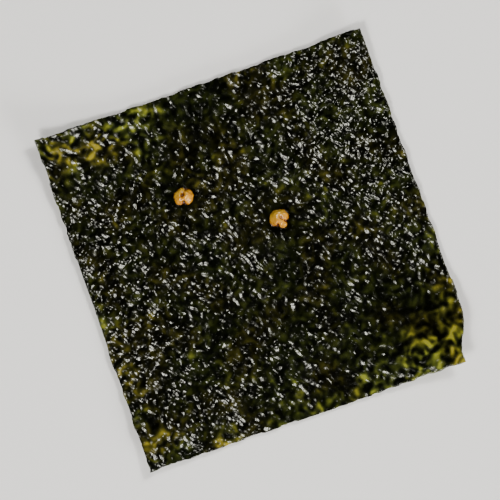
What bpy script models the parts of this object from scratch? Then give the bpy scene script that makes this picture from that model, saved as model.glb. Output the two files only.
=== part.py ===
"""Seaweed snack: one thin square of roasted laver with two puffed grains on it.

The square lies flat, glossy face up.  +Z is up, +X points to the right edge
and +Y to the back edge.  The origin lies on the surface that the square rests
on, under the middle of its box.  All lengths are in metres, angles in degrees.
"""

import math
from collections import namedtuple

import bmesh
import bpy
from mathutils import Vector, noise

# The cut square
SHEET_WIDTH = 0.0500          # left edge to right edge, at the back
SHEET_DEPTH = 0.0508          # front edge to back edge
SHEET_THICKNESS = 0.0005      # crisp sheet between its bumps
EDGE_LEAN = 0.0005            # how far the right edge leans out towards the front
CELLS_PER_SIDE = 52           # squares of the grid that each face is made of

# The cut edge: it stands out at each bump and is pulled in between bumps
SCALLOP_DEPTH = 0.00026
EDGE_WANDER = 0.00022         # slow unevenness of the cut
EDGE_WANDER_SIZE = 0.0047
EDGE_BAND = 0.0015            # width of the strip that follows the cut

# The corners: how high each one curls, over what reach, and how far the curl
# draws the corner in along X.  Sides are -1 or +1 along X and Y.
Corner = namedtuple("Corner", "side_x side_y lift reach tuck")
CORNERS = (
    Corner(-1, 1, 0.0021, 0.0170, 0.0),
    Corner(1, 1, 0.0013, 0.0160, 0.0),
    Corner(-1, -1, 0.0012, 0.0170, 0.0),
    Corner(1, -1, 0.0040, 0.0210, 0.0024),
)
TUCK_REACH = 0.0085           # length of right edge that the front corner draws in

# The wide blisters of the sheet
BLISTER_HEIGHT = 0.0012
BLISTER_SIZE = 0.0105

# The sheet stands on three low points, which are corners of the underside's grid,
# counted from the left edge and from the front edge.  It rises round each of them.
FEET = ((26, 5), (5, 35), (47, 36))
FOOT_TIP = 0.00005            # radius that stays down
FOOT_REACH = 0.0050
FOOT_RISE = 0.00042

# In the middle it sags, and has a flat spot just clear of the surface below
FLAT_RADIUS = 0.0040
FLAT_BLEND = 0.0060           # distance over which the sheet rises round that spot
FLAT_CLEARANCE = 0.00002

# The small bumps of the skin, on an uneven square lattice
BUMP_PITCH = 0.00264
BUMP_JITTER = 0.75            # how far a bump strays from its place, of the pitch
BUMP_REACH = (0.34, 0.50)     # smallest and largest bump radius, of the pitch
BUMP_HEIGHT = 0.00024         # on the glossy face
BUMP_FOOT = 0.30              # swell at which a bump starts to rise
BUMP_FLANK = 0.55             # and how much more swell brings it to its flat top
WARP_SIZE = 0.0060            # the lattice itself is bent a little
WARP_SHIFT = 0.0006
WARP_SEED = 1795534311        # fixes the bends, which noise_vector would draw by the clock
UNDERSIDE_SHARE = 0.5         # the hollows under the bumps are this much lower

# The puffed grains: where each sits, its diameter, and where its dimple points
Grain = namedtuple("Grain", "x y diameter dimple")
GRAINS = (
    Grain(-0.0073, 0.0106, 0.0028, (-0.10, 0.14, 1.0)),
    Grain(0.0047, 0.0030, 0.0029, (0.10, 0.05, 1.0)),
)
GRAIN_FLATNESS = 0.86         # height over diameter
GRAIN_SEAT = 0.00040          # depth to which a grain is stuck into the sheet
GRAIN_SEGMENTS = 14
GRAIN_RINGS = 9
DIMPLE_DEPTH = 0.30           # of the grain's radius
DIMPLE_WIDTH = 24.0

LAVER_COLOUR = (0.010, 0.012, 0.003, 1.0)
GRAIN_COLOUR = (0.66, 0.34, 0.05, 1.0)


def clear_scene():
    """Remove every object of the open scene."""
    for old in list(bpy.data.objects):
        bpy.data.objects.remove(old, do_unlink=True)


def make_material(name, colour, roughness):
    """Return a plain Principled material."""
    material = bpy.data.materials.new(name)
    material.use_nodes = True
    shader = material.node_tree.nodes["Principled BSDF"]
    shader.inputs["Base Color"].default_value = colour
    shader.inputs["Roughness"].default_value = roughness
    shader.inputs["Metallic"].default_value = 0.0
    return material


def smooth(value):
    """Ease from 0 to 1 as the value goes from 0 to 1, flat outside."""
    value = min(max(value, 0.0), 1.0)
    return value * value * (3.0 - 2.0 * value)


def swell(x, y):
    """Sum of the round swells of the bumps near a point, 0 between them and about 1 on top."""
    warp = noise.noise_vector(Vector((x, y, 0.0)) / WARP_SIZE) * WARP_SHIFT
    x += warp.x
    y += warp.y
    column = round(x / BUMP_PITCH)
    row = round(y / BUMP_PITCH)
    smallest, largest = BUMP_REACH
    total = 0.0
    for i in (column - 1, column, column + 1):
        for j in (row - 1, row, row + 1):
            draw = noise.cell_vector(Vector((i + 0.5, j + 0.5, 0.5)))
            across = x - (i + BUMP_JITTER * (draw.x - 0.5)) * BUMP_PITCH
            along = y - (j + BUMP_JITTER * (draw.y - 0.5)) * BUMP_PITCH
            reach = BUMP_PITCH * (smallest + (largest - smallest) * draw.z)
            total += math.exp(-(across * across + along * along) / (reach * reach))
    return total


def bump(x, y):
    """Height of the bumps: 0 between them, 1 on their flat tops, with short flanks."""
    return smooth((swell(x, y) - BUMP_FOOT) / BUMP_FLANK)


def cut_inset(x, y, side):
    """Distance that the cut lies inside the true square, at a point of that square's side."""
    place = Vector((x / EDGE_WANDER_SIZE, y / EDGE_WANDER_SIZE, 3.0 * side))
    wander = EDGE_WANDER * (0.5 + 0.5 * noise.noise(place))
    return wander + SCALLOP_DEPTH * (1.0 - bump(x, y))


def edge_share(offset, half_side):
    """How strongly the cut moves a point: 1 on the edge, 0 inside the edge band."""
    return smooth((abs(offset) - half_side + EDGE_BAND) / EDGE_BAND)


def corner_tuck(x, y):
    """Distance along X by which a curled corner draws a point in."""
    pulled = 0.0
    for corner in CORNERS:
        along = corner.side_y * y - SHEET_DEPTH / 2 + TUCK_REACH
        across = corner.side_x * x / (SHEET_WIDTH / 2)
        pulled += corner.side_x * corner.tuck * smooth(along / TUCK_REACH) * smooth(across)
    return pulled


def plan(u, v):
    """Place a point of the unit square, -0.5 to 0.5 each way, in the plan."""
    true_x = SHEET_WIDTH * u
    true_y = SHEET_DEPTH * v
    side_x = math.copysign(1.0, u)
    side_y = math.copysign(1.0, v)
    share_x = edge_share(true_x, SHEET_WIDTH / 2)
    share_y = edge_share(true_y, SHEET_DEPTH / 2)
    x = true_x - side_x * share_x * cut_inset(side_x * SHEET_WIDTH / 2, true_y, side_x)
    y = true_y - side_y * share_y * cut_inset(true_x, side_y * SHEET_DEPTH / 2, 2.0 * side_y)
    x += EDGE_LEAN * smooth(u + 0.5) * (0.5 - v) - corner_tuck(true_x, true_y)
    return x, y


def curl(x, y):
    """Height of the curled corners at a point."""
    height = 0.0
    for corner in CORNERS:
        tip_x = corner.side_x * SHEET_WIDTH / 2
        tip_y = corner.side_y * SHEET_DEPTH / 2
        reached = 1.0 - math.hypot(x - tip_x, y - tip_y) / corner.reach
        height += corner.lift * max(reached, 0.0) ** 2
    return height


def off_middle(x, y):
    """0 on the flat spot in the middle, 1 away from it."""
    return smooth((math.hypot(x, y) - FLAT_RADIUS) / FLAT_BLEND)


def off_feet(x, y):
    """Distance from the nearest foot, as a share of a foot's reach and at most 1."""
    nearest = FOOT_REACH
    for column, row in FEET:
        foot_x, foot_y = plan(column / CELLS_PER_SIDE - 0.5, row / CELLS_PER_SIDE - 0.5)
        nearest = min(nearest, math.hypot(x - foot_x, y - foot_y) - FOOT_TIP)
    return max(nearest, 0.0) / FOOT_REACH


def lie(x, y):
    """Height of the sheet's slow form: curled corners, blisters, feet and the sagging middle."""
    place = Vector((x / BLISTER_SIZE, y / BLISTER_SIZE, 5.7))
    apart = off_feet(x, y)
    blister = smooth(apart) * BLISTER_HEIGHT * max(noise.noise(place), 0.0)
    risen = FOOT_RISE * math.sqrt(apart) + blister
    away = off_middle(x, y)
    return curl(x, y) + away * risen + (1.0 - away) * FLAT_CLEARANCE


def underside(x, y):
    """Height of the lower face, which has a hollow under each bump."""
    calm = off_middle(x, y) * smooth(off_feet(x, y))
    return lie(x, y) + calm * UNDERSIDE_SHARE * BUMP_HEIGHT * bump(x, y)


def glossy_face(x, y):
    """Height of the upper face."""
    return lie(x, y) + SHEET_THICKNESS + BUMP_HEIGHT * (bump(x, y) - 0.5)


def build_sheet(material):
    """Make the closed sheet: a grid in triangles, given its second face by an extrusion."""
    work = bmesh.new()
    cells = CELLS_PER_SIDE
    bmesh.ops.create_grid(work, x_segments=cells, y_segments=cells, size=0.5)
    bmesh.ops.triangulate(work, faces=work.faces[:], quad_method="ALTERNATE")
    lower = set(work.verts)
    bmesh.ops.extrude_face_region(work, geom=work.faces[:] + work.edges[:], use_keep_orig=True)
    for vertex in work.verts:
        x, y = plan(vertex.co.x, vertex.co.y)
        z = underside(x, y) if vertex in lower else glossy_face(x, y)
        vertex.co = (x, y, z)
    bmesh.ops.triangulate(work, faces=[face for face in work.faces if len(face.verts) > 3])
    bmesh.ops.recalc_face_normals(work, faces=work.faces[:])
    return finish_mesh(work, "seaweed_sheet", material)


def dimpled(direction, dimple_axis):
    """Radius of a grain towards a direction, as a share of its full radius."""
    angle = math.degrees(direction.angle(dimple_axis))
    return 1.0 - DIMPLE_DEPTH * math.exp(-((angle / DIMPLE_WIDTH) ** 2))


def build_grain(number, grain, material):
    """Make one puffed grain, a flattened ball with a dimple, seated in the sheet."""
    radius = grain.diameter / 2
    axis = Vector(grain.dimple)
    turn = Vector((0.0, 0.0, 1.0)).rotation_difference(axis)
    seat = lie(grain.x, grain.y) + SHEET_THICKNESS - GRAIN_SEAT
    centre = Vector((grain.x, grain.y, seat + radius * GRAIN_FLATNESS))
    work = bmesh.new()
    bmesh.ops.create_uvsphere(work, u_segments=GRAIN_SEGMENTS, v_segments=GRAIN_RINGS, radius=1.0)
    for vertex in work.verts:
        direction = turn @ vertex.co
        offset = direction * radius * dimpled(direction, axis)
        offset.z *= GRAIN_FLATNESS
        vertex.co = centre + offset
    return finish_mesh(work, f"grain_{number}", material)


def finish_mesh(work, name, material):
    """Turn a bmesh into a named, smooth-shaded object of the scene."""
    mesh = bpy.data.meshes.new(name)
    work.to_mesh(mesh)
    work.free()
    mesh.materials.append(material)
    mesh.shade_smooth()
    made = bpy.data.objects.new(name, mesh)
    bpy.context.scene.collection.objects.link(made)
    return made


def fuse(sheet, grains):
    """Join the grains to the sheet in one solid, and remove them."""
    group = bpy.data.collections.new("Grains")
    for grain in grains:
        group.objects.link(grain)
    union = sheet.modifiers.new("Fuse grains", "BOOLEAN")
    union.operation = "UNION"
    union.operand_type = "COLLECTION"
    union.collection = group
    union.solver = "EXACT"
    union.material_mode = "TRANSFER"
    bpy.context.view_layer.objects.active = sheet
    bpy.ops.object.modifier_apply(modifier=union.name)
    for grain in grains:
        bpy.data.objects.remove(grain, do_unlink=True)
    bpy.data.collections.remove(group)


def stand_on_origin(made):
    """Move the mesh so that the origin is at the bottom centre of its box."""
    points = [vertex.co for vertex in made.data.vertices]
    lowest = Vector([min(point[axis] for point in points) for axis in range(3)])
    highest = Vector([max(point[axis] for point in points) for axis in range(3)])
    middle = (lowest + highest) / 2
    for vertex in made.data.vertices:
        vertex.co -= Vector((middle.x, middle.y, lowest.z))


def build_snack():
    """Build the whole seaweed snack."""
    clear_scene()
    noise.seed_set(WARP_SEED)
    laver = make_material("laver", LAVER_COLOUR, roughness=0.3)
    puffed = make_material("puffed_grain", GRAIN_COLOUR, roughness=0.45)
    sheet = build_sheet(laver)
    grains = [build_grain(number, grain, puffed) for number, grain in enumerate(GRAINS, 1)]
    fuse(sheet, grains)
    stand_on_origin(sheet)


build_snack()
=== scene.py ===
"""Looks of the seaweed snack: a crinkled, oily laver square with two puffed grains.

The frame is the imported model, in metres, +Z up, origin on the surface below the
middle of the square.  The square and its grains are modelled here as fine meshes
that keep the form of the solid they replace.  All lengths are in metres.
"""
import math
from collections import namedtuple

import bmesh
import bpy
import numpy as np
from mathutils import Matrix, Vector, noise


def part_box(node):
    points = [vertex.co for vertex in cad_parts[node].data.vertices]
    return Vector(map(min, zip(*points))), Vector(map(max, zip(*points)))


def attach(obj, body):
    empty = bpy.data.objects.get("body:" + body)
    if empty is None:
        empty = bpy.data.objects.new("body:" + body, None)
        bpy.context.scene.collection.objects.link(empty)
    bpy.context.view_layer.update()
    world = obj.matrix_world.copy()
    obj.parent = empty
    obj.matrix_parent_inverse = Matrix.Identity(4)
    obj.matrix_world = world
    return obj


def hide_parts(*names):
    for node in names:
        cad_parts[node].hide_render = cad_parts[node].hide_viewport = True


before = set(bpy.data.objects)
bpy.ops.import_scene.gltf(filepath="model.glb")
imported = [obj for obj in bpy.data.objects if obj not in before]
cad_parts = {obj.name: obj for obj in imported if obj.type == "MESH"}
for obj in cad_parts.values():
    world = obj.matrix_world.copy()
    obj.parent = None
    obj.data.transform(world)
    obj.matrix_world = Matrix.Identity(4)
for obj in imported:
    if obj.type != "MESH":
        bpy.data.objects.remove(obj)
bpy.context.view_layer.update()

NODE = "seaweed_sheet"
FLOOR_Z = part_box(NODE)[0].z

# The seed that the solid's bumps have: noise_vector would draw its bends by the clock.
NOISE_SEED = 1795534311
noise.seed_set(NOISE_SEED)

# ---------------------------------------------------------------- the square's form
SHEET_WIDTH = 0.0500
SHEET_DEPTH = 0.0508
SHEET_THICKNESS = 0.0005
EDGE_LEAN = 0.0005            # how far the right edge leans out towards the front
EDGE_BAND = 0.0015            # width of the strip that follows the cut
EDGE_WANDER = 0.00014
EDGE_WANDER_SIZE = 0.0047
EDGE_WANDER_LAYER = 3.0
RAGGED_DEPTH = 0.00006        # torn fibres along the cut
RAGGED_SIZE = 0.00052
RAGGED_FINENESS = 2.3         # of the finer fibres, against the coarse ones
RAGGED_FINE_SHARE = 0.6
SCALLOP_DEPTH = 0.00018       # the edge stands out at each bump

Corner = namedtuple("Corner", "side_x side_y lift reach tuck")
CORNERS = (
    Corner(-1, 1, 0.0021, 0.0170, 0.0),
    Corner(1, 1, 0.0013, 0.0160, 0.0),
    Corner(-1, -1, 0.0012, 0.0170, 0.0),
    Corner(1, -1, 0.0040, 0.0210, 0.0024),
)
TUCK_REACH = 0.0085

BLISTER_HEIGHT = 0.0004
BLISTER_SIZE = 0.0105
BLISTER_LAYER = 5.7
FEET = ((0.0001, -0.0205), (-0.0203, 0.0088), (0.0202, 0.0098))
FOOT_REACH = 0.0050
FOOT_RISE = 0.00042           # of the sheet round a foot
FLAT_RADIUS = 0.0025
FLAT_BLEND = 0.0110

BUMP_PITCH = 0.00264
BUMP_JITTER = 0.75
BUMP_REACH = (0.34, 0.50)     # smallest and largest, as shares of the pitch
BUMP_HEIGHT = 0.00007
BUMP_FOOT = 0.30              # how much of a swell lies below a bump
BUMP_FLANK = 0.55             # and how much makes up its flank
WARP_SIZE = 0.0060
WARP_SHIFT = 0.0006

FOLD_SIZE = 0.00115           # sharp crinkles over the bumps
FOLD_LAYER = 0.4
FOLD_HEIGHT = 0.000082
FOLD_STEEPNESS = 3.2
FOLD_BEND = 0.5               # how far the crinkles are bent, as a share of their size
FOLD_BEND_FINENESS = 0.5
NARROW_FINENESS = 2.0         # of the narrow crinkles, against the wide ones
NARROW_SHIFT = Vector((7.7, 3.1, 0.0))
NARROW_SHARE = 0.5
FINE_SIZE = 0.00036
FINE_LAYER = 9.1
FINE_HEIGHT = 0.00001
CRINKLED_PLACES = (           # X, Y, reach and the share added to the crinkles' height
    (0.0208, 0.0225, 0.0090, 0.66),
    (0.0205, 0.0072, 0.0085, 0.44),
    (-0.0225, 0.0060, 0.0080, 0.40),
    (-0.0235, -0.0090, 0.0075, 0.36),
    (0.0010, -0.0050, 0.0110, -0.22),
    (0.0200, -0.0215, 0.0095, -0.60),
    (0.0020, -0.0250, 0.0080, -0.35),
    (-0.0190, 0.0235, 0.0060, -0.35),
    (-0.0040, 0.0240, 0.0095, -0.32),
)
CREASES = (                   # start and end of each, X and Y
    (0.0147, -0.0031, 0.0176, -0.0090),
    (0.0124, 0.0057, 0.0134, -0.0003),
    (0.0159, 0.0028, 0.0164, -0.0015),
    (-0.0019, -0.0019, -0.0004, -0.0050),
    (-0.0053, 0.0079, -0.0041, 0.0055),
    (0.0099, -0.0108, 0.0092, -0.0145),
    (-0.0160, -0.0050, -0.0148, -0.0098),
)
CREASE_REACH = 0.00042        # from a crease's crest to its foot
CREASE_HEIGHT = 0.00010
CREASE_SWAY = 0.0004
CREASE_SWAY_FINENESS = 4.0    # of the sway, over the length of a crease
CREASE_APART = 900.0          # gives each crease a sway of its own
CREASE_OVERRUN = 0.05         # past both ends, as a share of the length
CREASE_TAPER = 5.0
CREASE_CALM = 0.85            # how much of the crinkles a crease smooths away
CREASE_CALM_STEEPNESS = 2.0
UNDERSIDE_SHARE = 0.5         # of the bumps' height, as hollows in the underside
UNDERSIDE_FOLD_HEIGHT = 0.00006

TOP_CELLS = 272
UNDER_CELLS = TOP_CELLS // 2

# ---------------------------------------------------------------- the square's colour
# Places where the laver is thin, as X, Y and reach: the back left corner, a spot of
# the back edge, the front half of both sides, a spot further back on the right side,
# and the whole front edge.
THIN_PLACES = (
    (-0.0205, 0.0230, 0.0060), (-0.0120, 0.0250, 0.0050), (0.0040, 0.0262, 0.0036),
    (-0.0248, -0.0030, 0.0042), (-0.0248, -0.0115, 0.0040), (-0.0240, -0.0230, 0.0044),
    (-0.0120, -0.0256, 0.0042), (0.0010, -0.0256, 0.0042), (0.0100, -0.0246, 0.0044),
    (0.0175, -0.0235, 0.0048), (0.0240, -0.0222, 0.0048), (0.0254, -0.0130, 0.0040),
    (0.0254, -0.0035, 0.0036), (0.0250, 0.0150, 0.0026),
)
ZONE_OF_PLACES = 0.62         # what the thin places add to a thin zone
ZONE_OF_BROAD = 0.42          # and what the broad noise adds
ZONE_BASE = 0.08
BROAD_SIZE = 0.0050
BROAD_LAYER = 21.3
PATCH_SIZE = 0.0018
PATCH_LAYER = 33.1
PATCH_SHARE = 0.52
SPECK_SIZE = 0.00084
SPECK_LAYER = 47.9
SPECK_SHARE = 0.68
BEND_SIZE = 0.0016            # of the noise that bends the patches and specks
BEND_LAYER = 88.6
BEND_SHIFT = 0.0005
PALE_BASE = 0.15
PALE_IN_ZONE = 0.31
CONTRAST_BASE = 0.58
CONTRAST_IN_ZONE = 0.80
FLANK_HIGHLIGHT_IN_ZONE = 0.12           # painted highlight: paler halfway up each bump's flank
WARM_SIZE = 0.0048
WARM_LAYER = 61.7
WARM_SPREAD = 1.1

# Round a grain the sheet is calmer, and painted darker as shade round the grain's foot.
BESIDE_GRAIN_REACH = 0.0021
BESIDE_GRAIN_STEEPNESS = 4
BESIDE_GRAIN_CALM = 0.8
BESIDE_GRAIN_SHADE = 0.6

# Islands of the baked picture's map, as scale and lower left corner.
TOP_ISLAND = (0.66, (0.005, 0.005))
UNDER_ISLAND = (0.32, (0.675, 0.005))
RIM_ISLAND = ((0.98, 0.02), (0.01, 0.69))

# ---------------------------------------------------------------- the grains
# A hollow runs from one direction to another, given in the square's frame.  It has a
# width in degrees at either end and a depth as a share of the radius.
Hollow = namedtuple("Hollow", "start end start_width end_width depth")
Grain = namedtuple("Grain", "x y diameter hollows")
GRAINS = (
    Grain(-0.0073, 0.0106, 0.0028, (
        Hollow((-0.09, 0.17, 0.98), (-0.01, 0.24, 0.97), 15.0, 14.0, 0.32),
        Hollow((-0.22, -0.95, -0.20), (-0.17, -0.60, 0.78), 24.0, 8.0, 0.36),
        Hollow((0.55, 0.80, 0.10), (0.36, 0.50, 0.79), 16.0, 6.0, 0.12),
        Hollow((-0.30, 0.95, 0.10), (0.50, 0.85, 0.15), 34.0, 34.0, 0.09),
    )),
    Grain(0.0047, 0.0030, 0.0029, (
        Hollow((0.18, 0.16, 0.97), (0.27, -0.08, 0.96), 13.0, 12.0, 0.17),
        Hollow((-0.47, -0.86, -0.20), (-0.38, -0.55, 0.75), 24.0, 8.0, 0.36),
        Hollow((0.84, -0.50, -0.20), (0.50, -0.40, 0.77), 20.0, 8.0, 0.28),
    )),
)
HOLLOW_STEPS = (0.0, 0.2, 0.4, 0.6, 0.8, 1.0)
GRAIN_FLATNESS = 0.86
GRAIN_SEAT = 0.00040          # how deep a grain sits in the sheet
GRAIN_LUMPS = ((1.5, 0.13), (3.6, 0.055), (9.0, 0.014))     # fineness, share of the radius
GRAIN_APART = 900.0           # gives each grain lumps of its own
GRAIN_FOOT_SHADE = 0.14              # painted shade at its foot, as the depth of a hollow
GRAIN_FOOT_SHADE_TOP = 0.6           # where that begins, as a share of the radius
# Painted shade: the side of a grain that faces this way is darkened towards olive.
GRAIN_SHADED_SIDE = Vector((-0.25, 0.90, 0.35))
GRAIN_SIDE_SHADE = 0.8
GRAIN_LEVELS = 6

# ---------------------------------------------------------------- colours and gloss
# The fineness of a material's noise is in cells a metre, the heights are in metres.
LAVER_GREENS = (              # how pale, colour
    (0.00, (0.0008, 0.0010, 0.0002)),
    (0.22, (0.0042, 0.0050, 0.0010)),
    (0.45, (0.0164, 0.0184, 0.0034)),
    (0.70, (0.0630, 0.0650, 0.0086)),
    (1.00, (0.1950, 0.1900, 0.0225)),
)
LAVER_TINTS = (               # how warm, what the green is multiplied by
    (0.15, (0.90, 1.00, 1.0)),
    (0.50, (1.00, 1.00, 0.9)),
    (0.85, (1.15, 0.95, 0.8)),
)
MOTTLE_FINENESS = 1500.0
MOTTLE_SPREAD = 0.40          # how far the finest mottle shifts the paleness in all
OIL_FINENESS = 800.0          # of the oil film, which varies the roughness
OIL_SPREAD = 0.20
OIL_BASE = 0.06
ROUGHER_BELOW = 0.35          # what the matte underside adds to the roughness
LEAST_ROUGH = 0.08
WRINKLE_FINENESS = 850.0
WRINKLE_WIDTH = 0.12          # as a difference of the noise from half way
WRINKLE_HEIGHT = 0.000013
RIPPLE_FINENESS = 1200.0
RIPPLE_HEIGHT = 0.000052
GRIT_FINENESS = 8000.0
GRIT_HEIGHT = 0.000002

GRAIN_GOLDS = (               # noise, colour
    (0.30, (0.40, 0.150, 0.003)),
    (0.55, (0.54, 0.228, 0.008)),
    (0.75, (0.70, 0.380, 0.040)),
)
# Colour of the painted shade on one side of a grain.
GRAIN_SIDE_SHADE_COLOUR = (0.36, 0.220, 0.012)
# Hollows are brown, and darken towards black with depth as painted shade.
GRAIN_BROWNS_AND_SHADE = (              # how deep in a hollow, what the gold is multiplied by
    (0.15, (1.0, 1.0, 1.0)),
    (0.55, (0.40, 0.25, 0.16)),
    (1.00, (0.10, 0.05, 0.03)),
)
GRAIN_BROWNING_AND_SHADE = 3.4          # how fast a hollow browns, and darkens as painted shade, with its depth
GOLD_FINENESS = 700.0
GRAIN_SKIN_FINENESS = 4000.0
GRAIN_SKIN_HEIGHT = 0.00003

# ---------------------------------------------------------------- camera and stage
PHOTO_TURN = 19.3             # turn of the square in the picture, degrees
CAMERA_ELEVATION = 86.5
CAMERA_DISTANCE = 0.65
CAMERA_LENS = 325.0
CAMERA_NEAR = 0.01
CAMERA_TARGET = Vector((-0.0008, 0.0002, 0.0015))

FLOOR_HALF_SIDE = 0.5
FLOOR_GAP = 0.00002
FLOOR_COLOUR = (0.80, 0.78, 0.74, 1.0)
FLOOR_ROUGHNESS = 0.85
SKY_GREYS = ((0.0, 0.45), (0.1, 0.22), (0.6, 0.002))     # upward share of a direction, grey

# Azimuths count from +X towards +Y.  A broader, fainter lamp lies round each of the two
# keys and greys the rims of their highlights.
Lamp = namedtuple("Lamp", "name azimuth elevation distance size power")
LAMPS = (
    Lamp("key", 25.7, 57.5, 0.45, 0.085, 0.90),
    Lamp("key_glow", 25.7, 56.0, 0.46, 0.230, 0.90),
    Lamp("far_key", 224.0, 58.5, 0.45, 0.090, 1.20),
    Lamp("far_glow", 222.0, 56.5, 0.46, 0.240, 1.00),
    Lamp("side", -68.0, 18.0, 1.0, 0.40, 10.0),
)


# ---------------------------------------------------------------- shape functions
def smooth(value):
    """Ease from 0 to 1 as the value goes from 0 to 1, flat outside."""
    value = min(max(value, 0.0), 1.0)
    return value * value * (3.0 - 2.0 * value)


def bell(across, along, reach):
    """1 at no distance, easing to 0 about twice the reach away."""
    return math.exp(-(across * across + along * along) / (reach * reach))


def in_noise(x, y, size, layer):
    """Where a point lies in a noise of this size.  Each layer is a noise of its own."""
    return Vector((x / size, y / size, layer))


def swell(x, y):
    """Sum of the round swells of the bumps near a point."""
    warp = noise.noise_vector(Vector((x, y, 0.0)) / WARP_SIZE) * WARP_SHIFT
    x += warp.x
    y += warp.y
    column = round(x / BUMP_PITCH)
    row = round(y / BUMP_PITCH)
    smallest, largest = BUMP_REACH
    total = 0.0
    for i in (column - 1, column, column + 1):
        for j in (row - 1, row, row + 1):
            draw = noise.cell_vector(Vector((i + 0.5, j + 0.5, 0.5)))
            across = x - (i + BUMP_JITTER * (draw.x - 0.5)) * BUMP_PITCH
            along = y - (j + BUMP_JITTER * (draw.y - 0.5)) * BUMP_PITCH
            total += bell(across, along, BUMP_PITCH * (smallest + (largest - smallest) * draw.z))
    return total


def bump(x, y):
    """Height of the bumps: 0 between them, 1 on their flat tops."""
    return smooth((swell(x, y) - BUMP_FOOT) / BUMP_FLANK)


def cut_inset(x, y, side):
    """Distance that the cut edge lies inside the true square."""
    place = in_noise(x, y, EDGE_WANDER_SIZE, EDGE_WANDER_LAYER * side)
    wander = EDGE_WANDER * (0.5 + 0.5 * noise.noise(place))
    torn = in_noise(x, y, RAGGED_SIZE, side)
    finer = RAGGED_FINE_SHARE * noise.noise(torn * RAGGED_FINENESS)
    ragged = RAGGED_DEPTH * (noise.noise(torn) + finer)
    return wander + ragged + SCALLOP_DEPTH * (1.0 - bump(x, y))


def edge_share(offset, half_side):
    """How strongly the cut moves a point: 1 on the edge, 0 inside the edge band."""
    return smooth((abs(offset) - half_side + EDGE_BAND) / EDGE_BAND)


def corner_tuck(x, y):
    """Distance along X by which a curled corner draws a point in."""
    pulled = 0.0
    for corner in CORNERS:
        along = corner.side_y * y - SHEET_DEPTH / 2 + TUCK_REACH
        across = corner.side_x * x / (SHEET_WIDTH / 2)
        pulled += corner.side_x * corner.tuck * smooth(along / TUCK_REACH) * smooth(across)
    return pulled


def plan(u, v):
    """Place a point of the unit square, -0.5 to 0.5 each way, in the plan."""
    true_x = SHEET_WIDTH * u
    true_y = SHEET_DEPTH * v
    x, y = true_x, true_y
    share = edge_share(true_x, SHEET_WIDTH / 2)
    if share > 0.0:
        side = math.copysign(1.0, u)
        x -= side * share * cut_inset(side * SHEET_WIDTH / 2, true_y, side)
    share = edge_share(true_y, SHEET_DEPTH / 2)
    if share > 0.0:
        side = math.copysign(1.0, v)
        y -= side * share * cut_inset(true_x, side * SHEET_DEPTH / 2, 2.0 * side)
    x += EDGE_LEAN * smooth(u + 0.5) * (0.5 - v) - corner_tuck(true_x, true_y)
    return x, y


def curl(x, y):
    """Height of the curled corners at a point."""
    height = 0.0
    for corner in CORNERS:
        tip_x = corner.side_x * SHEET_WIDTH / 2
        tip_y = corner.side_y * SHEET_DEPTH / 2
        reached = 1.0 - math.hypot(x - tip_x, y - tip_y) / corner.reach
        height += corner.lift * max(reached, 0.0) ** 2
    return height


def off_middle(x, y):
    """0 on the flat spot in the middle, 1 away from it."""
    return smooth((math.hypot(x, y) - FLAT_RADIUS) / FLAT_BLEND)


def off_feet(x, y):
    """Distance from the nearest foot, as a share of a foot's reach and at most 1."""
    nearest = min(math.hypot(x - foot_x, y - foot_y) for foot_x, foot_y in FEET)
    return min(nearest / FOOT_REACH, 1.0)


def lie(x, y):
    """Height of the slow form: curled corners, blisters, feet and the sagging middle."""
    apart = off_feet(x, y)
    blister = max(noise.noise(in_noise(x, y, BLISTER_SIZE, BLISTER_LAYER)), 0.0)
    blister *= smooth(apart) * BLISTER_HEIGHT
    return curl(x, y) + off_middle(x, y) * (FOOT_RISE * math.sqrt(apart) + blister)


def fold(x, y):
    """Height of the crinkles, 1.5 on the highest crests: sharp bent ridges at two sizes."""
    place = in_noise(x, y, FOLD_SIZE, FOLD_LAYER)
    place += FOLD_BEND * noise.noise_vector(place * FOLD_BEND_FINENESS)
    wide = 1.0 - FOLD_STEEPNESS * abs(noise.noise(place))
    finer = place * NARROW_FINENESS + NARROW_SHIFT
    narrow = 1.0 - FOLD_STEEPNESS * abs(noise.noise(finer))
    return wide + NARROW_SHARE * narrow


def beside_grain(x, y):
    """1 at a grain, easing to 0 a little outside its foot."""
    nearest = min(math.hypot(x - grain.x, y - grain.y) for grain in GRAINS)
    return math.exp(-(nearest / BESIDE_GRAIN_REACH) ** BESIDE_GRAIN_STEEPNESS)


def crinkled(x, y):
    """How strongly the sheet is crinkled at a point, about 1."""
    share = 1.0
    for place_x, place_y, reach, extra in CRINKLED_PLACES:
        share += extra * bell(x - place_x, y - place_y, reach)
    return share * (1.0 - BESIDE_GRAIN_CALM * beside_grain(x, y))


def crease(x, y):
    """0 off the long creases, 1 on their crests."""
    past_end = 1.0 + CREASE_OVERRUN
    most = 0.0
    for start_x, start_y, end_x, end_y in CREASES:
        run_x, run_y = end_x - start_x, end_y - start_y
        length = math.hypot(run_x, run_y)
        along = ((x - start_x) * run_x + (y - start_y) * run_y) / (length * length)
        if -CREASE_OVERRUN < along < past_end:
            own_x, own_y = CREASE_APART * start_x, CREASE_APART * start_y
            place = Vector((own_x, own_y, CREASE_SWAY_FINENESS * along))
            sway = CREASE_SWAY * noise.noise(place)
            off = abs(((x - start_x) * run_y - (y - start_y) * run_x) / length - sway)
            if off < CREASE_REACH:
                taper = smooth(CREASE_TAPER * min(along + CREASE_OVERRUN, past_end - along))
                most = max(most, taper * smooth(1.0 - off / CREASE_REACH))
    return most


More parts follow.
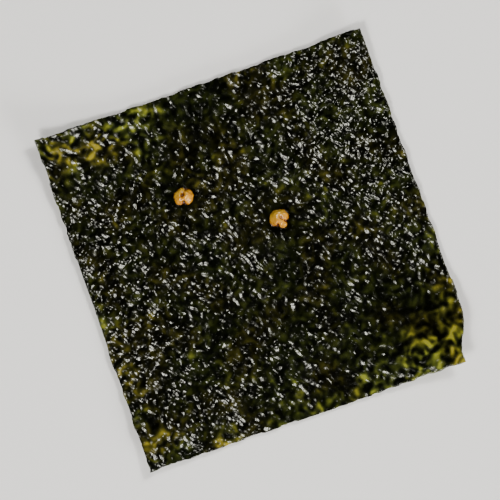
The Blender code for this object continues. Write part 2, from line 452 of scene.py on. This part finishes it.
def paleness(x, y, raised):
    """How pale the laver is, 0 to about 1: thin places, painted flank highlights, painted shade
    by grains.
    """
    near = 0.0
    for place_x, place_y, reach in THIN_PLACES:
        near += bell(x - place_x, y - place_y, reach)
    bent = noise.noise_vector(in_noise(x, y, BEND_SIZE, BEND_LAYER)) * BEND_SHIFT
    broad = noise.noise(in_noise(x, y, BROAD_SIZE, BROAD_LAYER))
    patch = noise.noise(in_noise(x + bent.x, y + bent.y, PATCH_SIZE, PATCH_LAYER))
    speck = noise.noise(in_noise(x + bent.y, y + bent.x, SPECK_SIZE, SPECK_LAYER))
    zone = smooth(ZONE_OF_PLACES * min(near, 1.0) + ZONE_OF_BROAD * broad + ZONE_BASE)
    grainy = PATCH_SHARE * patch + SPECK_SHARE * speck
    # Painted highlight: paler halfway up each bump's flank, where glints would lie.
    flank_highlight = 4.0 * raised * (1.0 - raised)
    level = PALE_BASE + PALE_IN_ZONE * zone
    level += (CONTRAST_BASE + CONTRAST_IN_ZONE * zone) * grainy
    level += FLANK_HIGHLIGHT_IN_ZONE * flank_highlight * zone
    # Painted shade round each grain's foot.
    return level * (1.0 - BESIDE_GRAIN_SHADE * beside_grain(x, y))


def warmth(x, y):
    """How brown the laver is at a point, 0 to about 1 and 0.5 on average."""
    return 0.5 + WARM_SPREAD * noise.noise(in_noise(x, y, WARM_SIZE, WARM_LAYER))


def top_point(u, v):
    """Place, paleness, warmth and crinkling of a point of the glossy face."""
    x, y = plan(u, v)
    raised = bump(x, y)
    crest = crease(x, y)
    calm = CREASE_CALM * min(CREASE_CALM_STEEPNESS * crest, 1.0)
    share = crinkled(x, y) * (1.0 - calm)
    fine = noise.noise(in_noise(x, y, FINE_SIZE, FINE_LAYER))
    relief = BUMP_HEIGHT * (raised - 0.5)
    relief += share * (FOLD_HEIGHT * fold(x, y) + FINE_HEIGHT * fine)
    relief += CREASE_HEIGHT * crest
    height = lie(x, y) + SHEET_THICKNESS + relief
    return (x, y, height), paleness(x, y, raised), warmth(x, y), share


def under_point(u, v):
    """Place, paleness, warmth and crinkling of a point of the lower face."""
    x, y = plan(u, v)
    raised = bump(x, y)
    calm = off_middle(x, y) * smooth(off_feet(x, y))
    hollow = UNDERSIDE_SHARE * BUMP_HEIGHT * raised
    hollow += UNDERSIDE_FOLD_HEIGHT * max(fold(x, y), 0.0)
    height = lie(x, y) + calm * hollow
    return (x, y, height), paleness(x, y, raised), warmth(x, y), 1.0


# ---------------------------------------------------------------- the square's mesh
def add_object(name, data):
    """A new object of the scene that shows this data."""
    made = bpy.data.objects.new(name, data)
    bpy.context.scene.collection.objects.link(made)
    return made


def add_layer(mesh, name, values):
    """Give every vertex of a mesh a number that its material reads."""
    layer = mesh.attributes.new(name, "FLOAT", "POINT")
    layer.data.foreach_set("value", np.array(values, dtype=np.float32))


def grid_uv(cells):
    """Unit-square places of a grid's vertices, row by row from the front left."""
    line = np.linspace(-0.5, 0.5, cells + 1)
    return [(u, v) for v in line for u in line]


def grid_triangles(cells, first):
    """Triangles of a square grid whose vertices start at index first."""
    row = np.arange(cells)
    a = (row[:, None] * (cells + 1) + row[None, :]).ravel() + first
    b, d, c = a + 1, a + cells + 1, a + cells + 2
    odd = ((row[:, None] + row[None, :]) % 2).ravel().astype(bool)[:, None]
    one = np.where(odd, np.stack([a, b, d], 1), np.stack([a, b, c], 1))
    two = np.where(odd, np.stack([b, c, d], 1), np.stack([a, c, d], 1))
    return np.concatenate([one, two])


def rim_loop(cells, first):
    """Vertices round the border of a grid, counter-clockwise from the front left."""
    line = np.arange(cells)
    front = first + line
    right = first + cells + line * (cells + 1)
    back = first + (cells + 1) * (cells + 1) - 1 - line
    left = first + (cells + 1) * cells - line * (cells + 1)
    return np.concatenate([front, right, back, left])


def rim_triangles(high, low):
    """Triangles of the cut edge, between a loop and one of half as many vertices."""
    start, middle = high[0::2], high[1::2]
    end, low_end = np.roll(start, -1), np.roll(low, -1)
    return np.stack([
        np.stack([low, middle, start], 1),
        np.stack([low, low_end, middle], 1),
        np.stack([low_end, end, middle], 1),
    ], 1).reshape(-1, 3)


def rim_uv(steps):
    """Map places of the cut edge's triangles, in a strip along the unit square."""
    s = np.arange(steps) / steps
    half, whole = s + 0.5 / steps, s + 1.0 / steps
    zero, one = np.zeros(steps), np.ones(steps)
    return np.stack([
        np.stack([s, zero, half, one, s, one], 1),
        np.stack([s, zero, whole, zero, half, one], 1),
        np.stack([whole, zero, whole, one, half, one], 1),
    ], 1).reshape(-1, 2)


def on_island(places, island):
    """Shrink map places of the unit square to an island and move them there."""
    scale, corner = island
    return places * scale + corner


def build_square():
    """The laver square: a fine glossy face over an underside of half as many cells."""
    top_uv, under_uv = grid_uv(TOP_CELLS), grid_uv(UNDER_CELLS)
    made = [top_point(u, v) for u, v in top_uv] + [under_point(u, v) for u, v in under_uv]
    points, pale, warm, crinkling = zip(*made)
    points = np.array(points)
    points[:, 2] = np.maximum(points[:, 2], 0.0) + FLOOR_Z

    count = len(top_uv)
    top = grid_triangles(TOP_CELLS, 0)
    under = grid_triangles(UNDER_CELLS, count)[:, ::-1]
    low = rim_loop(UNDER_CELLS, count)
    rim = rim_triangles(rim_loop(TOP_CELLS, 0), low)

    mesh = bpy.data.meshes.new("laver_square")
    mesh.from_pydata(points.tolist(), [], np.concatenate([top, under, rim]).tolist())
    mesh.shade_smooth()
    add_layer(mesh, "pale", pale)
    add_layer(mesh, "warm", warm)
    add_layer(mesh, "crinkled", crinkling)
    add_layer(mesh, "below", [0.0] * count + [1.0] * len(under_uv))

    flat = np.concatenate([
        on_island(np.array(top_uv) + 0.5, TOP_ISLAND),
        on_island(np.array(under_uv) + 0.5, UNDER_ISLAND),
    ])
    faces = flat[np.concatenate([top, under]).ravel()]
    corners = np.concatenate([faces, on_island(rim_uv(len(low)), RIM_ISLAND)])
    uv_map = mesh.uv_layers.new(name="OFBake")
    uv_map.data.foreach_set("uv", corners.ravel().astype(np.float32))
    return add_object("laver_square", mesh)


# ---------------------------------------------------------------- the grains' mesh
def hollow_depth(direction, hollow):
    """How deep a hollow is in a direction of the grain, as a share of the radius."""
    start, end = Vector(hollow.start), Vector(hollow.end)
    off = math.inf
    for share in HOLLOW_STEPS:
        width = hollow.start_width + (hollow.end_width - hollow.start_width) * share
        off = min(off, math.degrees(direction.angle(start.lerp(end, share))) / width)
    return hollow.depth * math.exp(-(off * off))


def build_grains():
    """Both puffed grains in one mesh: lumpy flattened balls with pits and clefts."""
    work = bmesh.new()
    pits, side_shades = [], []
    for grain in GRAINS:
        radius = grain.diameter / 2
        base = lie(grain.x, grain.y) + SHEET_THICKNESS - GRAIN_SEAT + FLOOR_Z
        centre = Vector((grain.x, grain.y, base + radius * GRAIN_FLATNESS))
        own = Vector((grain.x, grain.y, 0.0)) * GRAIN_APART
        ball = bmesh.ops.create_icosphere(work, subdivisions=GRAIN_LEVELS, radius=1.0)
        for vertex in ball["verts"]:
            direction = vertex.co.copy()
            sunk = sum(hollow_depth(direction, hollow) for hollow in grain.hollows)
            lump = sum(height * noise.noise(direction * fine + own)
                       for fine, height in GRAIN_LUMPS)
            offset = direction * radius * (1.0 - sunk + lump)
            offset.z *= GRAIN_FLATNESS
            vertex.co = centre + offset
            # Painted shade: darker towards the grain's foot, added to the depth of its hollows.
            rim = smooth((GRAIN_FOOT_SHADE_TOP - direction.z) / GRAIN_FOOT_SHADE_TOP)
            pits.append(sunk + GRAIN_FOOT_SHADE * rim)
            # Painted shade on one side of the grain, darker and olive.
            side_shades.append(GRAIN_SIDE_SHADE * smooth(direction.dot(GRAIN_SHADED_SIDE)))
    mesh = bpy.data.meshes.new("puffed_grains")
    work.to_mesh(mesh)
    work.free()
    mesh.shade_smooth()
    add_layer(mesh, "pit_and_foot_shade", pits)
    add_layer(mesh, "olive", side_shades)
    return add_object("puffed_grains", mesh)


# ---------------------------------------------------------------- materials
def fill_ramp(node, stops):
    """Give a colour ramp these stops, each a position and a colour."""
    elements = node.color_ramp.elements
    while len(elements) < len(stops):
        elements.new(0.5)
    for element, (position, colour) in zip(elements, stops):
        element.position = position
        element.color = (*colour, 1.0)


class Shading:
    """A Principled material that is put together node by node."""

    def __init__(self, name):
        self.material = bpy.data.materials.new(name)
        self.material.use_nodes = True
        self.tree = self.material.node_tree
        self.shader = self.tree.nodes["Principled BSDF"]
        self.place = self.tree.nodes.new("ShaderNodeTexCoord").outputs["Object"]

    def feed(self, value, socket):
        """Set a socket to a number or a colour, or link an output to it."""
        if isinstance(value, (int, float)):
            socket.default_value = value
        elif isinstance(value, tuple):
            socket.default_value = (*value, 1.0)
        else:
            self.tree.links.new(value, socket)

    def attribute(self, name):
        node = self.tree.nodes.new("ShaderNodeAttribute")
        node.attribute_name = name
        return node.outputs["Fac"]

    def noise(self, fineness, *, detail):
        node = self.tree.nodes.new("ShaderNodeTexNoise")
        node.inputs["Scale"].default_value = fineness
        node.inputs["Detail"].default_value = detail
        self.feed(self.place, node.inputs["Vector"])
        return node.outputs["Fac"]

    def math(self, operation, *values):
        node = self.tree.nodes.new("ShaderNodeMath")
        node.operation = operation
        for socket, value in zip(node.inputs, values):
            self.feed(value, socket)
        return node.outputs[0]

    def ramp(self, value, stops):
        node = self.tree.nodes.new("ShaderNodeValToRGB")
        fill_ramp(node, stops)
        self.feed(value, node.inputs["Fac"])
        return node.outputs["Color"]

    def mix(self, share, first, second, blend="MIX"):
        node = self.tree.nodes.new("ShaderNodeMix")
        node.data_type = "RGBA"
        node.blend_type = blend
        for index, value in ((0, share), (6, first), (7, second)):     # sockets of a colour mix
            self.feed(value, node.inputs[index])
        return node.outputs[2]

    def wrinkles(self, fineness, width, height):
        """Thin meandering ridges: the lines along which a noise is half way."""
        off = self.math("ABSOLUTE", self.math("SUBTRACT", self.noise(fineness, detail=1.5), 0.5))
        node = self.tree.nodes.new("ShaderNodeMapRange")
        node.interpolation_type = "SMOOTHSTEP"
        for name, value in (("From Max", width), ("To Min", height), ("To Max", 0.0)):
            node.inputs[name].default_value = value
        self.feed(off, node.inputs["Value"])
        return node.outputs["Result"]

    def relief(self, height):
        """Bend the normals as a relief of this height would."""
        node = self.tree.nodes.new("ShaderNodeBump")
        node.inputs["Strength"].default_value = 1.0
        node.inputs["Distance"].default_value = 1.0
        self.feed(height, node.inputs["Height"])
        self.feed(node.outputs["Normal"], self.shader.inputs["Normal"])

    def settle(self, **values):
        """Set sockets of the shader itself."""
        for name, value in values.items():
            self.shader.inputs[name.replace("_", " ")].default_value = value


def laver_material():
    """Black-green oily skin, olive to yellow-green where it is thin."""
    shading = Shading("laver")
    mottle = shading.noise(MOTTLE_FINENESS, detail=3.0)
    pale = shading.math("MULTIPLY_ADD", mottle, MOTTLE_SPREAD, shading.attribute("pale"))
    pale = shading.math("SUBTRACT", pale, MOTTLE_SPREAD / 2)
    green = shading.ramp(pale, LAVER_GREENS)
    tint = shading.ramp(shading.attribute("warm"), LAVER_TINTS)
    colour = shading.mix(1.0, green, tint, "MULTIPLY")
    shading.feed(colour, shading.shader.inputs["Base Color"])

    oil = shading.noise(OIL_FINENESS, detail=2.0)
    oiled = shading.math("MULTIPLY_ADD", oil, OIL_SPREAD, OIL_BASE)
    below = shading.attribute("below")
    rough = shading.math("MULTIPLY_ADD", below, ROUGHER_BELOW, oiled)
    rough = shading.math("MAXIMUM", rough, LEAST_ROUGH)
    shading.feed(rough, shading.shader.inputs["Roughness"])

    wrinkle = shading.wrinkles(WRINKLE_FINENESS, WRINKLE_WIDTH, WRINKLE_HEIGHT)
    ripple = shading.noise(RIPPLE_FINENESS, detail=1.0)
    ripple = shading.math("MULTIPLY", ripple, RIPPLE_HEIGHT)
    grit = shading.noise(GRIT_FINENESS, detail=1.0)
    grit = shading.math("MULTIPLY", grit, GRIT_HEIGHT)
    relief = shading.math("ADD", shading.math("ADD", wrinkle, ripple), grit)
    shading.relief(shading.math("MULTIPLY", relief, shading.attribute("crinkled")))
    shading.settle(Specular_IOR_Level=0.31, Specular_Tint=(1.0, 0.99, 0.88, 1.0))
    return shading.material


def grain_material():
    """Golden puffed grain: brown pits, with painted shade deep in hollows, at its foot and on
    one side.
    """
    shading = Shading("puffed_grain")
    gold = shading.ramp(shading.noise(GOLD_FINENESS, detail=4.0), GRAIN_GOLDS)
    # Painted shade: darker olive on one side of the grain.
    gold = shading.mix(shading.attribute("olive"), gold, GRAIN_SIDE_SHADE_COLOUR)
    # Brown in the hollows, darkening with depth as painted shade, and painted shade at the foot.
    deep = shading.math("MULTIPLY", shading.attribute("pit_and_foot_shade"), GRAIN_BROWNING_AND_SHADE)
    colour = shading.mix(1.0, gold, shading.ramp(deep, GRAIN_BROWNS_AND_SHADE), "MULTIPLY")
    shading.feed(colour, shading.shader.inputs["Base Color"])
    skin = shading.noise(GRAIN_SKIN_FINENESS, detail=3.0)
    shading.relief(shading.math("MULTIPLY", skin, GRAIN_SKIN_HEIGHT))
    shading.settle(Roughness=0.22, Specular_IOR_Level=0.45)
    return shading.material


# ---------------------------------------------------------------- the stage
def make_camera():
    """Look down at the square as the photograph does."""
    turn = math.radians(PHOTO_TURN)
    lean = math.radians(90.0 - CAMERA_ELEVATION)
    forward = Vector((math.sin(turn), math.cos(turn), 0.0))
    back = forward * -math.sin(lean) + Vector((0.0, 0.0, math.cos(lean)))
    right = forward.cross(Vector((0.0, 0.0, 1.0)))
    up = back.cross(right)
    turned = Matrix((right, up, back)).transposed().to_4x4()
    data = bpy.data.cameras.new("camera")
    data.lens = CAMERA_LENS
    data.clip_start = CAMERA_NEAR
    camera = add_object("camera", data)
    camera.matrix_world = Matrix.Translation(CAMERA_TARGET + back * CAMERA_DISTANCE) @ turned
    bpy.context.scene.camera = camera


def make_floor():
    """A plain pale floor."""
    side = FLOOR_HALF_SIDE
    mesh = bpy.data.meshes.new("floor")
    outline = [(-side, -side, 0.0), (side, -side, 0.0), (side, side, 0.0), (-side, side, 0.0)]
    mesh.from_pydata(outline, [], [(0, 1, 2, 3)])
    floor = add_object("floor", mesh)
    floor.location.z = FLOOR_Z - FLOOR_GAP
    paint = Shading("floor")
    paint.settle(Base_Color=FLOOR_COLOUR, Roughness=FLOOR_ROUGHNESS)
    mesh.materials.append(paint.material)


def make_sky():
    """Grey light from all round, darker overhead."""
    world = bpy.data.worlds.new("studio")
    world.use_nodes = True
    tree = world.node_tree
    split = tree.nodes.new("ShaderNodeSeparateXYZ")
    direction = tree.nodes.new("ShaderNodeTexCoord").outputs["Generated"]
    tree.links.new(direction, split.inputs["Vector"])
    ramp = tree.nodes.new("ShaderNodeValToRGB")
    fill_ramp(ramp, [(position, (grey, grey, grey)) for position, grey in SKY_GREYS])
    tree.links.new(split.outputs["Z"], ramp.inputs["Fac"])
    tree.links.new(ramp.outputs["Color"], tree.nodes["Background"].inputs["Color"])
    bpy.context.scene.world = world


def make_lamps():
    """Disk-shaped lamps that shine at the square."""
    for lamp in LAMPS:
        around, above = math.radians(lamp.azimuth), math.radians(lamp.elevation)
        flat = math.cos(above)
        direction = Vector((math.cos(around) * flat, math.sin(around) * flat, math.sin(above)))
        data = bpy.data.lights.new(lamp.name, "AREA")
        data.shape = "DISK"
        data.size = lamp.size
        data.energy = lamp.power
        light = add_object(lamp.name, data)
        light.location = direction * lamp.distance
        light.rotation_mode = "QUATERNION"
        light.rotation_quaternion = direction.to_track_quat("Z", "Y")


# ---------------------------------------------------------------- put together
make_camera()
make_floor()
make_sky()
make_lamps()

square = build_square()
square.data.materials.append(laver_material())
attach(square, "root")
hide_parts(NODE)

grains = build_grains()
grains.data.materials.append(grain_material())
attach(grains, "root")
